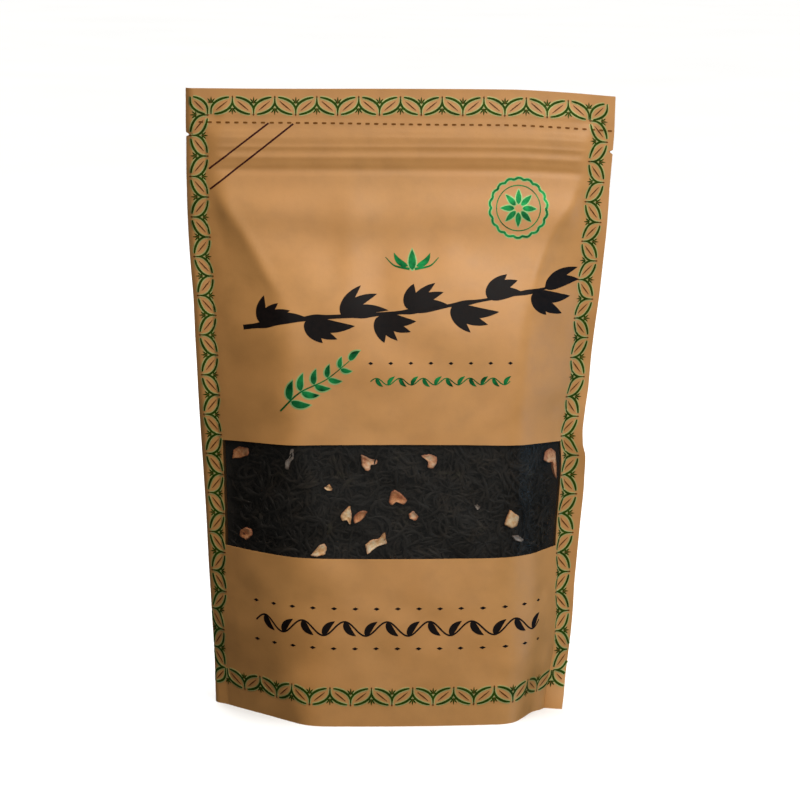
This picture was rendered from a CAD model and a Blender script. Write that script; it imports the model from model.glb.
"""Filled kraft stand-up pouch: detailed panels, print, window, tea and studio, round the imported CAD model.

Shapes are in millimetres on the flat pouch, s across (-100 to 100) and v up (0 to 300), carried to their
place by pouch_point and turned into metres when a mesh is made. The front faces -Y.
"""

import math

import bpy
import numpy as np
from mathutils import Matrix


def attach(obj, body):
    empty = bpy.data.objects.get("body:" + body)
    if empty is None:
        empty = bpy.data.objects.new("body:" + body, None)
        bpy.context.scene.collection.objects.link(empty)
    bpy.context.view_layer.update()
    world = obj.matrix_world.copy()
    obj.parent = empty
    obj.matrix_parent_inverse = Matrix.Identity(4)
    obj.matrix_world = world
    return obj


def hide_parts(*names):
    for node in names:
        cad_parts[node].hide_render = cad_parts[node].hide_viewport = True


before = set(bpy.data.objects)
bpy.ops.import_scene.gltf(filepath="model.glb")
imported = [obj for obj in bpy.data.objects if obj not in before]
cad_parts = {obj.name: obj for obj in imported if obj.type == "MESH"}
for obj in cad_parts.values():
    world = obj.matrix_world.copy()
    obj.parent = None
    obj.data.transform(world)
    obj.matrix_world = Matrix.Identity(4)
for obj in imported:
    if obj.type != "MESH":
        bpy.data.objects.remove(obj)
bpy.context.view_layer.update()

# ---- Driving dimensions, as in the CAD source ----

HALF_WIDTH = 100.0
POUCH_HEIGHT = 300.0
SEAL_LINE = 91.0
FRONT, BACK = -1, 1
PANELS = ((FRONT, "front"), (BACK, "back"))
LEFT, RIGHT = 0, 1

# Tables by height, (v, value); those with two rows are for the left and the right half
HALF_DEPTH = [
    (0, 37), (45, 34.5), (130, 25.5), (185, 19.5), (252, 2.2), (262, 1.7), (276, 1.7), (287, 0), (300, 0),
]
CREASES = [  # from the middle out to the crease at which a panel turns back
    [(0, 41), (50, 49), (130, 52), (190, 54), (218, 65), (252, 86)],
    [(0, 53), (60, 56), (180, 58), (231, 71), (256, 86)],
]
BENDS = [  # half width of that bend
    [(0, 9), (25, 20), (50, 28), (140, 9), (252, 4)],
    [(0, 7), (25, 16), (50, 22), (140, 9), (252, 4)],
]
FINS = [  # turn of the side seals out of their plane, in radians
    [
        (0, 0.6), (20, 0.7), (42, 0.85), (52, 0.75), (70, 0.58), (100, 0.42), (130, 0.2), (160, 0.05),
        (200, 0), (262, 0),
    ],
    [
        (0, -0.25), (12, 0.1), (30, 0.42), (45, 0.38), (60, 0.2), (90, 0), (125, -0.05), (150, 0.1),
        (175, 0.16), (200, 0), (262, 0),
    ],
]
# Waves along the side seals: height, length of a radian, and phase
FIN_WAVES = [[(0.5, 17.0, 0), (0.35, 9.3, 1)], [(0.5, 15.0, 2), (0.4, 8.1, 0)]]
FIN_WAVE_ENDS = ((0, 25), (225, 262))
# Outward stretch towards a side seal: side, reach across, amount by height
STRETCHES = [
    (LEFT, (60, 95), [
        (0, 1.3), (20, 2.1), (42, 3.5), (52, 3.0), (70, 2.1), (100, 1.15), (130, 0.5), (180, 0.35),
        (205, -0.4), (230, -0.3), (262, 0.2), (300, 0.5),
    ]),
    (RIGHT, (30, 75), [
        (0, 3.6), (12, 3.6), (30, 4.6), (45, 4.2), (60, 3.1), (90, 1.1), (118, 0.5), (128, -0.5),
        (138, -1.5), (146, -1.2), (160, -0.3), (200, -0.5), (225, -1), (256, -0.4), (281, 0.7), (300, 0.7),
    ]),
    (RIGHT, (84, 98), [(60, 0), (90, 1.4), (105, 1.6), (118, 1.2), (124, 1.2), (130, 0), (300, 0)]),
]
# The lower end of the right seal stands forward
FORWARD = [(0, 9), (30, 6), (60, 3), (100, 0), (300, 0)]
FORWARD_REACH = (70, 93)
PANEL_CAMBER = 0.14  # share of a panel's turning that is spread over its whole width
CAMBER_END = (200.0, 250.0)
STEEPEST_FLANK = 1.5  # radians, an upper limit
LEAN_SHARE = 0.8  # of the slope from the thinning of the filled pouch that shortens its height
FIN_BEND = 0.8  # on both sides of the seal line the panel turns into the seal
# Rise of the top edge over its plain height, from the left corner to the right
TOP_EDGE = [(-100, -0.6), (-60, -0.35), (0, 0.4), (50, 0.75), (75, -0.2), (100, -1.9)]

WINDOW_S = (-88.9, 87.8)
WINDOW_V = (80.0, 133.0)
WINDOW_BOW = 2.4  # of its upper edge, from the corners to the middle
WINDOW_DROP = 1.6  # of that edge at the corners
WINDOW_BOW_REACH = 9.0  # up and down from that edge
WINDOW_HALF = 89.0
NOTCHES = (278.3, 273.5)  # heights of the left and the right tear notch
NOTCH_DEPTH = 1.8
NOTCH_HALF = 1.0  # half of its height at the edge
ZIP_HALF_LENGTH = 86.0
EDGE_CURL = 2.2  # of the left seal, backwards along its edge
EDGE_CURL_WIDTH = 3.0
TOP_SEAL_START, TOP_SEAL = 284.0, 287.0  # the panels come together, and are welded from there up

GUSSET_SIDE_HEIGHT = 44.0  # of its seam with the panels, at the side seals
GUSSET_SEAL = 4.0  # and in the middle
GUSSET_FLAT = 52.0  # from the middle out to where its middle line leaves the ground
GUSSET_FLAT_SHARE = 0.4  # of the way from the middle line to a seam
GUSSET_SWEEP = 2.4  # power of the seam's curve
GUSSET_DROP = 1.0  # from the seam to the middle line at the sides
GUSSET_STOPS = [-90.2, -86, 0, 86, 90.2]  # its ends, those of its CAD sheet and its middle

FILL_HEIGHT = 150.0  # of the tea's top at the panels, in the middle
FILL_HALF_WIDTH = 80.0
FILL_DOME = 6.0
FILL_SAG = 8.0  # of the tea's top at its half width
CORE_DEPTH = 5.6  # from the window's film in to the core behind the leaves
CORE_HALF_WIDTH = 88.2
CORE_GAP_SHARE = 0.3  # of the room between the panels, near the side seals

# The visible laminate is thinner than the CAD sheets and lies inside them
SHEET_NEAR = 0.42  # outer face, from the middle surface of the pouch wall
SHEET_FAR = 0.18
SEAL_NEAR = 0.27  # both faces where the panels are welded together
SEAL_FAR = 0.03
SEAL_BLEND = 0.6  # on both sides of the seal line the laminate goes from one to the other
PRINT_ROOT = -0.03  # underside of the print, just below the outer face
FILM_THICKNESS = 0.12
FILM_HALF_WIDTH = 90.4
FILM_LAP = 4.0  # above and below the window
GUSSET_INSET = 0.28  # from the pouch wall in to the gusset along the skirt
GUSSET_HALF_THICKNESS = 0.11
GUSSET_LIFT = 0.17  # of its middle line, so that its underside clears the ground

# Dried citron pieces at the window: look, curl, tilt, middle (s, v) and corners from it
CITRON_DEPTH = 2.0
CITRON_PIECES = [
    ("rind", 0.3, 0.03, (-80, 126),
     [(-4.8, -3.5), (-4, 1), (-1, 2.8), (4.7, 2.7), (4.6, -0.8), (-0.1, -2.8)]),
    ("dull", 0.2, 0.02, (-51.8, 125.6),
     [(0.5, 5.8), (2, 5.5), (1.8, 0.7), (0.1, -0.8), (-0.9, -4.7), (-2.9, -4.4), (-2.6, -0.5), (-0.2, 1.6)]),
    ("pith", 0.1, 0.05, (-33.6, 113.4), [(-1.9, -0.4), (1.1, 1.5), (2.6, -1.4), (0.2, -1.8)]),
    ("rind", 0.4, -0.04, (-78.4, 86.6),
     [(-3.6, -1.7), (-2.9, 1.4), (0.1, 3.4), (3.7, 3), (4.2, 0.2), (1.2, -2.8)]),
    ("pith", 0.3, 0.04, (-37, 83.8),
     [(-5, -3.1), (-2.6, -0.6), (-0.4, 2.3), (2.5, 2.9), (3.4, 0.5), (2.5, -2.3), (-1.2, -3.4)]),
    ("peel", 0.6, -0.06, (-14.7, 125.6), [
        (-3.4, 3.5), (-1, 2.5), (1.3, 1.1), (4.6, 0.7), (4.2, -1.2), (1.4, -1.7), (0.9, -4), (-1, -4.5),
        (-2.9, -2.2),
    ]),
    ("peel", 0.5, 0.05, (14.4, 125.2),
     [(-4.3, 3.4), (-0.1, 3.9), (3.7, 2.4), (3.3, -0.9), (1.4, -3.2), (-0.9, -2.8), (-0.5, 0.1)]),
    ("rind", 0.4, 0.05, (-0.5, 109),
     [(-4.2, -3), (-3.3, 1.8), (-1.4, 3.4), (1.9, 1.3), (4.8, -2), (2.9, -3.9), (-0.4, -2.5), (-3, -4.3)]),
    ("pith", -0.3, -0.05, (-25.6, 100.2),
     [(-2, -0.4), (0.3, 2.5), (2.6, 4.8), (3.6, 0.6), (3, -5), (1.2, -2.2), (-1, -2.7)]),
    ("rind", 0.4, 0.04, (-18, 99.4),
     [(-3, -3.2), (-3.2, 0), (-1.4, 2.1), (0.9, 3.3), (3.4, 2.8), (1.8, -0.2), (-0.6, -2.3)]),
    ("peel", 0.2, 0.03, (7.2, 99.8), [(-2.5, 1), (-0.1, 2.7), (2.3, -0.3), (0.9, -2.2), (-2, -1.3)]),
    ("pith", 0.4, 0.05, (-10.4, 87.6),
     [(-5.2, -1.3), (-2.2, 1.1), (1.2, 1.5), (4, 4.8), (5.2, -0.8), (1.2, -1.8), (-1.6, -3.7), (-4.4, -6)]),
    ("pith", -0.4, 0.06, (54.8, 97.6),
     [(-4.2, -2.5), (-3, 1.2), (-1.3, 4.7), (0.8, 2.9), (4.1, 1.1), (4, -3.8), (0.4, -4.8)]),
    ("dull", 0.1, 0.02, (58.8, 87.2), [(-4.1, 2.3), (-0.8, 2.4), (3.4, -0.1), (2.2, -1.4), (-2.5, 0.2)]),
    ("dull", 0.1, 0.02, (37.4, 103.8), [(-1.4, 0.6), (0.1, 1.5), (1.6, -0.1), (0, -1.5)]),
    ("peel", 0.3, -0.05, (81.4, 124.8), [
        (-4.6, -1.7), (-2.7, 2.4), (2, 3.5), (5, 1.4), (5.6, -5.6), (6, -12.6), (4, -9.3), (2.5, -3.2),
        (-1.6, -3.1),
    ]),
]

MM = 0.001


# ---- Small tools ----


def smooth_step(low, high, value):
    t = np.clip((value - low) / (high - low), 0, 1)
    return t * t * (3 - 2 * t)


def lerp(a, b, t):
    return a + (b - a) * t


def bell(x, middle, reach):
    """1 at the middle, fading smoothly to nothing over about twice the reach."""
    return np.exp(-(((x - middle) / reach) ** 2))


def bells(rows, x):
    return sum(height * bell(x, middle, reach) for height, middle, reach in rows)


def between(ends, value):
    """1 between the two ends, each given by where its fade starts and stops."""
    start, end = ends
    return smooth_step(*start, value) * (1 - smooth_step(*end, value))


def station_curve(stations, x):
    """Curve through stations (x, y) that never overshoots them."""
    xs, ys = np.array(stations, float).T
    rises = np.diff(ys) / np.diff(xs)
    slopes = np.empty(len(xs))
    slopes[0], slopes[-1] = rises[0], rises[-1]
    before, after = rises[:-1], rises[1:]
    same = before * after > 0
    slopes[1:-1] = np.where(same, 2 * before * after / np.where(same, before + after, 1), 0)
    i = np.clip(np.searchsorted(xs, x) - 1, 0, len(xs) - 2)
    span = xs[i + 1] - xs[i]
    t = np.clip((x - xs[i]) / span, 0, 1)
    t2, t3 = t * t, t * t * t
    ends = ys[i] * (2 * t3 - 3 * t2 + 1) + ys[i + 1] * (3 * t2 - 2 * t3)
    return ends + span * (slopes[i] * (t3 - 2 * t2 + t) + slopes[i + 1] * (t3 - t2))


def by_half(tables, s, v):
    """Value at height v from the left or the right table, by the sign of s."""
    return np.where(s < 0, station_curve(tables[LEFT], v), station_curve(tables[RIGHT], v))


def grid_lines(stops, step):
    """Grid lines through the given stops, no further apart than step."""
    lines = [min(stops)]
    for a, b in zip(sorted(stops), sorted(stops)[1:]):
        parts = max(1, math.ceil((b - a) / step - 0.001))
        lines += [lerp(a, b, k / parts) for k in range(1, parts + 1)]
    return np.array(lines)


def ripples(seed, count, longest, shortest, strength=2.2):
    """Smooth uneven field over (s, v), about -1 to 1, from waves of many directions."""
    random = np.random.default_rng(seed)
    angles = random.uniform(0, math.pi, count)
    lengths = random.uniform(shortest, longest, count)
    phases = random.uniform(0, 2 * math.pi, count)
    shares = lengths / lengths.sum() * strength

    def field(s, v):
        total = np.zeros(np.broadcast(s, v).shape)
        for angle, length, phase, share in zip(angles, lengths, phases, shares):
            across = s * math.cos(angle) + v * math.sin(angle)
            total += share * np.sin(across * 2 * math.pi / length + phase)
        return total

    return field


# ---- Shape of the filled pouch ----

LEVELS = np.arange(POUCH_HEIGHT + 1)
DISTANCES = np.arange(SEAL_LINE + 1)
half_depths = station_curve(HALF_DEPTH, LEVELS)
leans = np.diff(half_depths)
heights = np.concatenate([[0], np.cumsum(np.sqrt(1 - LEAN_SHARE * leans**2))])


def section_table(side):
    """x, y and turning angle of every level cross-section, at each millimetre out to the seal."""
    v, u = LEVELS[:, None], DISTANCES[None, :]
    crease, bend = station_curve(CREASES[side], v), station_curve(BENDS[side], v)
    camber = PANEL_CAMBER * (1 - smooth_step(*CAMBER_END, v))
    share = camber * u / SEAL_LINE + (1 - camber) * smooth_step(crease - bend, crease + bend, u)
    mean = (share[:, 1:] + share[:, :-1]) / 2
    # The flank's angle at which the panel reaches in to the seal, found by halving
    low, high = np.zeros_like(v), np.full_like(v, STEEPEST_FLANK)
    for _ in range(40):
        middle = (low + high) / 2
        short = np.sin(middle * mean).sum(1)[:, None] < half_depths[:, None]
        low, high = np.where(short, middle, low), np.where(short, high, middle)
    start = np.zeros_like(v)
    x = np.hstack([start, np.cumsum(np.cos(low * mean), 1)])
    y = np.hstack([start, np.cumsum(np.sin(low * mean), 1)])
    return np.stack([x, y, low * share])


SECTIONS = np.stack([section_table(LEFT), section_table(RIGHT)])


def stand_height(s, v):
    return np.interp(v, LEVELS, heights) + station_curve(TOP_EDGE, s) * (v / POUCH_HEIGHT) ** 2


def side_stretch(s, v):
    """Outward stretch of the panels towards the side seals."""
    total = np.zeros(np.shape(s))
    for side, reach, amounts in STRETCHES:
        sign = -1 if side == LEFT else 1
        total += sign * station_curve(amounts, v) * smooth_step(*reach, sign * s)
    return total


def fin_wave(s, v):
    """The side seals run in slight waves, as they do where a full body pulls on them."""
    left, right = (sum(a * np.sin(v / length + phase) for a, length, phase in waves) for waves in FIN_WAVES)
    wave = np.where(s < 0, left, right) * between(FIN_WAVE_ENDS, v)
    return wave * smooth_step(SEAL_LINE - 2, HALF_WIDTH, np.abs(s))


def pouch_point(face, s, v, offset):
    """Flat point of the front or back panel, moved outwards by offset, in millimetres."""
    s, v, offset = np.broadcast_arrays(*(np.asarray(a, float) for a in (s, v, offset)))
    side = (s >= 0).astype(int)
    sign = np.where(s < 0, -1.0, 1.0)
    u = np.abs(s)
    iu = np.clip(u.astype(int), 0, len(DISTANCES) - 2)
    iv = np.clip(v.astype(int), 0, len(LEVELS) - 2)
    tu, tv = np.clip(u - iu, 0, 1), np.clip(v - iv, 0, 1)

    def pick(k):
        low = lerp(SECTIONS[side, k, iv, iu], SECTIONS[side, k, iv, iu + 1], tu)
        high = lerp(SECTIONS[side, k, iv + 1, iu], SECTIONS[side, k, iv + 1, iu + 1], tu)
        return lerp(low, high, tv)

    end = lerp(SECTIONS[side, 1, iv, -1], SECTIONS[side, 1, iv + 1, -1], tv)
    sweep = by_half(FINS, s, v)
    past = np.clip(u - SEAL_LINE, 0, None)
    inside = u < SEAL_LINE
    x = pick(0) + past * np.cos(sweep)
    depth = np.where(inside, end - pick(1), 0)
    on_fin = smooth_step(SEAL_LINE - FIN_BEND, SEAL_LINE + FIN_BEND, u)
    turn = lerp(pick(2), -face * sweep, on_fin)
    outward_x = sign * (x + offset * np.sin(turn)) + side_stretch(s, v)
    outward_y = face * (depth + offset * np.cos(turn)) + past * np.sin(sweep) + fin_wave(s, v)
    outward_y = outward_y - station_curve(FORWARD, v) * smooth_step(*FORWARD_REACH, s)
    return np.stack([outward_x, outward_y, stand_height(s, v)], -1)


# ---- Relief pressed into the panels ----

tea_lumps = ripples(3, 26, 34, 11)
slack_waves = ripples(8, 18, 60, 22)
back_lumps = ripples(21, 26, 36, 12)

# Rises and hollows of the zipper band: height, level and reach
ZIP_BAND = [(0.13, 273, 0.95), (0.24, 268.2, 1.3), (-0.06, 271, 1.0), (-0.5, 262.3, 2.1), (0.85, 287.5, 6)]
ZIP_WRINKLES = [(0.05, 277.3, 0.7), (0.04, 280.2, 0.8), (-0.05, 265.2, 0.8)]
# Hollow and two ridges under the zipper, and a dent low on the left: rise, then middle, drift with height and
# reach across, then middle and reach up
FRONT_FOLDS = [
    (-0.9, -8.16, 0.06, 9, 214, 30),
    (0.5, -24, 0, 6, 226, 22),
    (0.45, 22, 0, 8, 224, 20),
    (-1.6, -51, 0.5, 10, 27, 16),
]
FRONT_SWELL = (2.0, 243, 12)  # height, level and reach
BODY = ((4, 20), (140, 165))  # the tea presses on the front between these heights
SLACK = ((140, 175), (235, 256))  # and the panel hangs free between these
LUMP_HEIGHT, SLACK_HEIGHT, BACK_HEIGHT = 0.34, 0.5, 0.45
FLAT_SIDE = (80, 89)  # no relief beyond this distance from the middle
CREASED = ((196, 214), (238, 256))  # height of the crisp side creases
CREASE_EDGE = (0.45, 2.6)  # height and reach
CREASE_HOLLOW = (0.5, 12, 9)  # depth, distance out from the crease, and reach


def zip_relief(s, v):
    """Two low ridges and a groove where the zipper lies behind the panels, and the slack above it."""
    ends = 1 - smooth_step(ZIP_HALF_LENGTH - 4, ZIP_HALF_LENGTH + 2, np.abs(s))
    uneven = 0.6 + 0.4 * np.sin(s / 13.0 + 1)
    return ends * (bells(ZIP_BAND, v) + uneven * bells(ZIP_WRINKLES, v))


def crease_relief(s, v):
    """Crisp edge along both side creases of the upper half, hollow on the outside of it."""
    u = np.abs(s)
    crease = by_half(CREASES, s, v)
    upper = between(CREASED, v) * (1 - smooth_step(82, 89, u))
    height, reach = CREASE_EDGE
    depth, out, hollow_reach = CREASE_HOLLOW
    return upper * (height * bell(u, crease, reach) - depth * bell(u, crease + out, hollow_reach))


def edge_curl(s):
    """The left seal is bent back along its edge."""
    return EDGE_CURL * np.clip(1 - (HALF_WIDTH + s) / EDGE_CURL_WIDTH, 0, 1) ** 2


def front_relief(s, v):
    body = LUMP_HEIGHT * tea_lumps(s, v) * between(BODY, v)
    body = body + SLACK_HEIGHT * slack_waves(s, v) * between(SLACK, v)
    for rise, middle, drift, reach, level, reach_up in FRONT_FOLDS:
        body = body + rise * bell(s, middle + drift * (v - level), reach) * bell(v, level, reach_up)
    body = body + bells([FRONT_SWELL], v)
    body = body * (1 - smooth_step(*FLAT_SIDE, np.abs(s))) + crease_relief(s, v)
    return body + zip_relief(s, v) - edge_curl(s)


def back_relief(s, v):
    body = BACK_HEIGHT * back_lumps(s, v) * between((BODY[0], SLACK[1]), v)
    return body * (1 - smooth_step(*FLAT_SIDE, np.abs(s))) + zip_relief(s, v) + edge_curl(s)


RELIEF = {FRONT: front_relief, BACK: back_relief}


def skin(face, s, v, rise=0.0, inner=False):
    """Outer (or inner) surface of the front or back panel, with its relief."""
    sealed = smooth_step(SEAL_LINE - SEAL_BLEND, SEAL_LINE + SEAL_BLEND, np.abs(s))
    sealed = np.maximum(sealed, smooth_step(TOP_SEAL_START, TOP_SEAL, v))
    body, seal = (SHEET_FAR, SEAL_FAR) if inner else (SHEET_NEAR, SEAL_NEAR)
    return pouch_point(face, s, v, lerp(body, seal, sealed) + RELIEF[face](s, v) + rise)


# ---- Mesh tools ----


def add_object(name, data):
    thing = bpy.data.objects.new(name, data)
    bpy.context.scene.collection.objects.link(thing)
    return thing


def make_piece(name, points, faces, material, smooth_angle=35.0):
    """Closed mesh from points in millimetres, riding on the pouch."""
    mesh = bpy.data.meshes.new(name)
    mesh.from_pydata((np.asarray(points) * MM).tolist(), [], [list(f) for f in faces])
    mesh.validate()
    mesh.materials.append(material)
    mesh.polygons.foreach_set("use_smooth", np.ones(len(mesh.polygons), bool))
    mesh.set_sharp_from_angle(angle=math.radians(smooth_angle))
    piece = add_object(name, mesh)
    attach(piece, "root")
    return piece


def set_uv(piece, name, uv_of_point):
    """UV map whose corners take the value of their point."""
    mesh = piece.data
    corners = np.empty(len(mesh.loops), int)
    mesh.loops.foreach_get("vertex_index", corners)
    layer = mesh.uv_layers.new(name=name)
    layer.data.foreach_set("uv", np.asarray(uv_of_point, float)[corners].ravel())


def sheet_faces(columns, rows, is_open=None):
    """Quads of a thin sheet between two equal grids of points, the near one first."""
    solid = np.ones((columns - 1, rows - 1), bool)
    if is_open is not None:
        solid &= ~is_open
    index = np.arange(columns * rows).reshape(columns, rows)
    near, far = (
        [grid[:-1, :-1], grid[1:, :-1], grid[1:, 1:], grid[:-1, 1:]]
        for grid in (index, index + columns * rows)
    )
    faces = [np.stack(near, -1)[solid], np.stack([far[k] for k in (0, 3, 2, 1)], -1)[solid]]
    # A wall on each side of a cell that has no solid neighbour there
    padded = np.pad(solid, 1)
    neighbours = (padded[1:-1, :-2], padded[2:, 1:-1], padded[1:-1, 2:], padded[:-2, 1:-1])
    for k, neighbour in enumerate(neighbours):
        after = (k + 1) % 4
        wall = np.stack([far[k], far[after], near[after], near[k]], -1)
        faces.append(wall[solid & ~neighbour])
    return np.concatenate(faces)


def tube_faces(rings, corners, start=0):
    """Faces of a closed tube through equal rings of points, with a cap on both ends."""
    faces = []
    for i in range(rings - 1):
        for k in range(corners):
            a, b = start + i * corners + k, start + i * corners + (k + 1) % corners
            faces.append((a, b, b + corners, a + corners))
    last = start + (rings - 1) * corners
    faces.append(tuple(range(start, start + corners))[::-1])
    faces.append(tuple(range(last, last + corners)))
    return faces


def sheet_piece(name, near, far, s, v, material, smooth_angle=35.0, is_open=None):
    """Closed sheet between two grids of points, with a flat UV map, and what its bake map needs."""
    points = np.concatenate([near.reshape(-1, 3), far.reshape(-1, 3)])
    faces = sheet_faces(*s.shape, is_open)
    used = np.unique(faces)
    renumber = np.full(len(points), -1)
    renumber[used] = np.arange(len(used))
    piece = make_piece(name, points[used], renumber[faces], material, smooth_angle)
    flat = np.stack([s.ravel(), v.ravel()], -1)
    flat = np.concatenate([flat, flat])[used]
    set_uv(piece, "Flat", flat / 100)
    return piece, flat, used >= s.size


# Where the outer and the inner face of a panel lie in its bake map: start and width
BAKE_OUTER = (0.005, 0.665)
BAKE_INNER = (0.69, 0.3)
BAKE_UP = (0.005, 0.99)


def panel_piece(name, face, columns, rows, near, far, material, slot, is_open=None):
    """A panel from its outer and inner grids, with a flat UV map and a map to bake on."""
    if face == BACK:
        near, far, columns = near[::-1], far[::-1], columns[::-1]
    s, v = np.meshgrid(columns, rows, indexing="ij")
    piece, flat, is_inner = sheet_piece(name, near, far, s, v, material, is_open=is_open)
    across = (flat[:, 0] + HALF_WIDTH) / (2 * HALF_WIDTH)
    outer, inner = (start + width * across for start, width in (BAKE_OUTER, BAKE_INNER))
    bake_v = BAKE_UP[0] + BAKE_UP[1] * flat[:, 1] / POUCH_HEIGHT
    set_uv(piece, "OFBake", np.stack([np.where(is_inner, inner, outer), bake_v], -1))
    return piece


# ---- Materials ----


class Nodes:
    """Short way to write a node tree: each call makes a node and links or sets its inputs."""

    def __init__(self, owner, shader="Principled BSDF"):
        owner.use_nodes = True
        self.owner = owner
        self.tree = owner.node_tree
        self.shader = self.tree.nodes[shader]

    def add(self, kind, inputs=None, **settings):
        node = self.tree.nodes.new(kind)
        for key, value in settings.items():
            setattr(node, key, value)
        for key, value in (inputs or {}).items():
            self.feed(node.inputs[key], value)
        return node

    def feed(self, socket, value):
        if isinstance(value, bpy.types.NodeSocket):
            self.tree.links.new(value, socket)
        else:
            socket.default_value = value

    def place(self):
        """Place on the object, in metres."""
        return self.add("ShaderNodeTexCoord").outputs["Object"]

    def flat(self):
        """Place on the flat panel, in tenths of a metre."""
        return self.add("ShaderNodeUVMap", uv_map="Flat").outputs["UV"]

    def noise(self, vector, scale, detail=3, roughness=0.6):
        inputs = {"Vector": vector, "Scale": scale, "Detail": detail, "Roughness": roughness}
        return self.add("ShaderNodeTexNoise", inputs).outputs["Fac"]

    def stretch(self, vector, scale):
        return self.add("ShaderNodeMapping", {"Vector": vector, "Scale": scale}).outputs["Vector"]

    def ramp(self, factor, stops):
        node = self.add("ShaderNodeValToRGB", {"Fac": factor})
        elements = node.color_ramp.elements
        while len(elements) < len(stops):
            elements.new(0.5)
        for element, (position, colour) in zip(elements, stops):
            element.position = position
            element.color = (*colour, 1)
        return node.outputs["Color"]

    def span(self, factor, low, high, start=0.3, end=0.7):
        """Value from low to high while a noise factor goes from start to end."""
        inputs = {"Value": factor, "From Min": start, "From Max": end, "To Min": low, "To Max": high}
        return self.add("ShaderNodeMapRange", inputs).outputs["Result"]

    def shade(self, factor, *colours, middle=0.5):
        """Two or three colours, in order of the noise factor."""
        positions = (0.0, 1.0) if len(colours) == 2 else (0.0, middle, 1.0)
        return self.ramp(self.span(factor, 0, 1), list(zip(positions, colours)))

    def blend(self, factor, below, colour):
        """Colour laid over the one below, as far as the factor says."""
        # The node takes colours at its inputs 6 and 7, and gives one at its output 2
        inputs = {0: factor, 6: below, 7: (*colour, 1)}
        return self.add("ShaderNodeMix", inputs, data_type="RGBA", blend_type="MIX").outputs[2]

    def bump(self, height, strength, distance, below=None):
        inputs = {"Height": height, "Strength": strength, "Distance": distance}
        if below is not None:
            inputs["Normal"] = below
        return self.add("ShaderNodeBump", inputs).outputs["Normal"]

    def finish(self, **inputs):
        for key, value in inputs.items():
            self.feed(self.shader.inputs[key.replace("_", " ")], value)
        return self.owner


def kraft_material(name, tone):
    """Satin laminate over kraft paper: fibres, faint mottling, and a slightly uneven gloss."""

    def tinted(*shares):
        return [min(1, c * share) for c, share in zip(tone, shares)]

    n = Nodes(bpy.data.materials.new(name))
    flat = n.flat()
    fibres = n.noise(n.stretch(flat, (60, 340, 1)), 3.0, 6)
    cross = n.noise(n.stretch(flat, (300, 70, 1)), 3.0, 5)
    mottle = n.noise(flat, 9.0, 4, 0.5)
    cloud = n.noise(flat, 2.2, 2, 0.5)
    flecks = n.noise(n.stretch(flat, (180, 480, 1)), 1.0, 2, 0.5)
    colour = n.shade(mottle, tinted(0.9, 0.9, 0.9), tone, tinted(1.07, 1.07, 1.07))
    for factor, most, shares in (
        (cloud, 0.35, (1.04, 0.93, 0.8)),
        (fibres, 0.2, (0.72, 0.66, 0.56)),
        (cross, 0.16, (1.2, 1.2, 1.18)),
    ):
        colour = n.blend(n.span(factor, 0, most), colour, tinted(*shares))
    colour = n.blend(n.span(flecks, 0, 0.45, 0.68, 0.78), colour, KRAFT_FLECK)
    height = n.add("ShaderNodeMath", {0: fibres, 1: cross}, operation="ADD").outputs[0]
    fine = n.bump(height, 0.12, 0.0001)
    normal = n.bump(n.noise(flat, 26, 3, 0.5), 0.1, 0.0006, fine)
    return n.finish(
        Base_Color=colour,
        Roughness=n.span(mottle, 0.4, 0.5),
        Specular_IOR_Level=0.45,
        Normal=normal,
    )


def foil_material(name, dark, light, metallic, roughness):
    """Hot-stamped foil with slight unevenness of colour and gloss."""
    n = Nodes(bpy.data.materials.new(name))
    place = n.place()
    patch = n.noise(place, 160.0)
    grain = n.noise(place, 1400.0, 2, 0.5)
    return n.finish(
        Base_Color=n.shade(patch, dark, light),
        Metallic=metallic,
        Specular_IOR_Level=0.1,
        Roughness=n.span(grain, roughness - 0.05, roughness + 0.08),
        Normal=n.bump(grain, 0.15, 0.00005),
    )


def ink_material(name, dark, light):
    """Printed ink under the laminate, a little thin in places."""
    n = Nodes(bpy.data.materials.new(name))
    patch = n.noise(n.place(), 420.0)
    return n.finish(
        Base_Color=n.shade(patch, dark, light),
        Roughness=n.span(patch, 0.48, 0.58),
        Specular_IOR_Level=0.12,
    )


def film_material():
    """Clear film, lightly smudged."""
    n = Nodes(bpy.data.materials.new("clear_film"))
    flat = n.flat()
    smudge = n.noise(n.stretch(flat, (6, 14, 1)), 1.0, 4)
    n.owner.use_backface_culling = False
    return n.finish(
        Base_Color=n.shade(smudge, (0.03, 0.03, 0.028), (0.05, 0.05, 0.047)),
        Roughness=n.span(smudge, 0.22, 0.34),
        Specular_IOR_Level=0.4,
        Alpha=0.09,
        Normal=n.bump(n.noise(flat, 12.0, 3, 0.5), 0.15, 0.0003),
    )


def tea_material():
    """Dark rolled leaf with brown and olive streaks."""
    n = Nodes(bpy.data.materials.new("dark_tea"))
    place = n.place()
    tint = n.noise(place, 140.0, 4)
    streak = n.noise(n.stretch(place, (1.0, 1.0, 3.0)), 900.0, 4)
    stops = [
        (0.0, (0.004, 0.0034, 0.0028)), (0.55, (0.009, 0.007, 0.005)),
        (0.85, (0.019, 0.013, 0.008)), (1.0, (0.022, 0.019, 0.01)),
    ]
    dark = n.ramp(n.span(tint, 0, 1), stops)
    return n.finish(
        Base_Color=n.blend(n.span(streak, 0, 0.3), dark, (0.03, 0.022, 0.014)),
        Roughness=n.span(streak, 0.6, 0.85),
        Specular_IOR_Level=0.2,
        Normal=n.bump(streak, 0.3, 0.0003),
    )


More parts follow.
